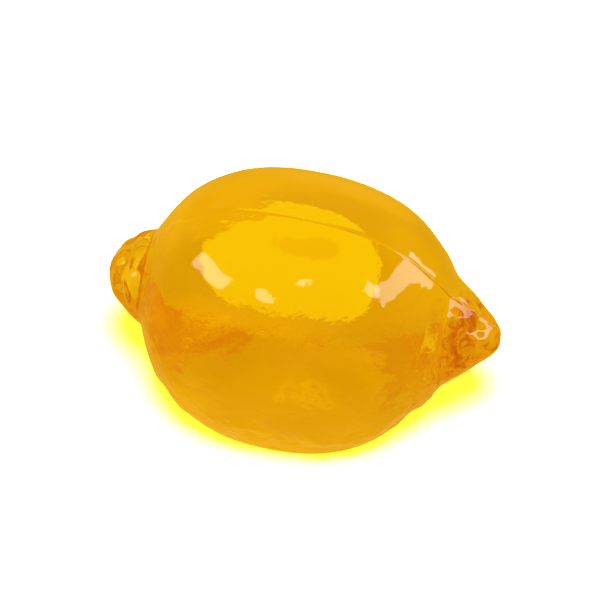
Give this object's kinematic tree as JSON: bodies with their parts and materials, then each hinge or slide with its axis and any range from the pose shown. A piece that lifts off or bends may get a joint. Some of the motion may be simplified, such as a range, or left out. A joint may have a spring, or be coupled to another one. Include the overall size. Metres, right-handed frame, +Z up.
{
  "type": "gummy lemon",
  "caption": "Clear jelly sweet moulded as a small lemon with a stem knob and a pointed nipple, lying on its flat poured face; a sweet to eat or to heap in a dish.",
  "frame": {"origin": "middle of the sweet's footprint, on the plane it rests on", "axes": "+X along the lemon from the blunt stem knob to the pointed nipple, +Y across it, +Z up from the flat poured face to the top of the dome"},
  "size_m": [0.0302, 0.0204, 0.017],
  "materials": {
    "lemon_jelly": "clear yellow-orange jelly with a wet gloss, lightly pitted like peel"
  },
  "bodies": {
    "root": {"gummy_lemon": "lemon_jelly"}
  },
  "joints": []
}
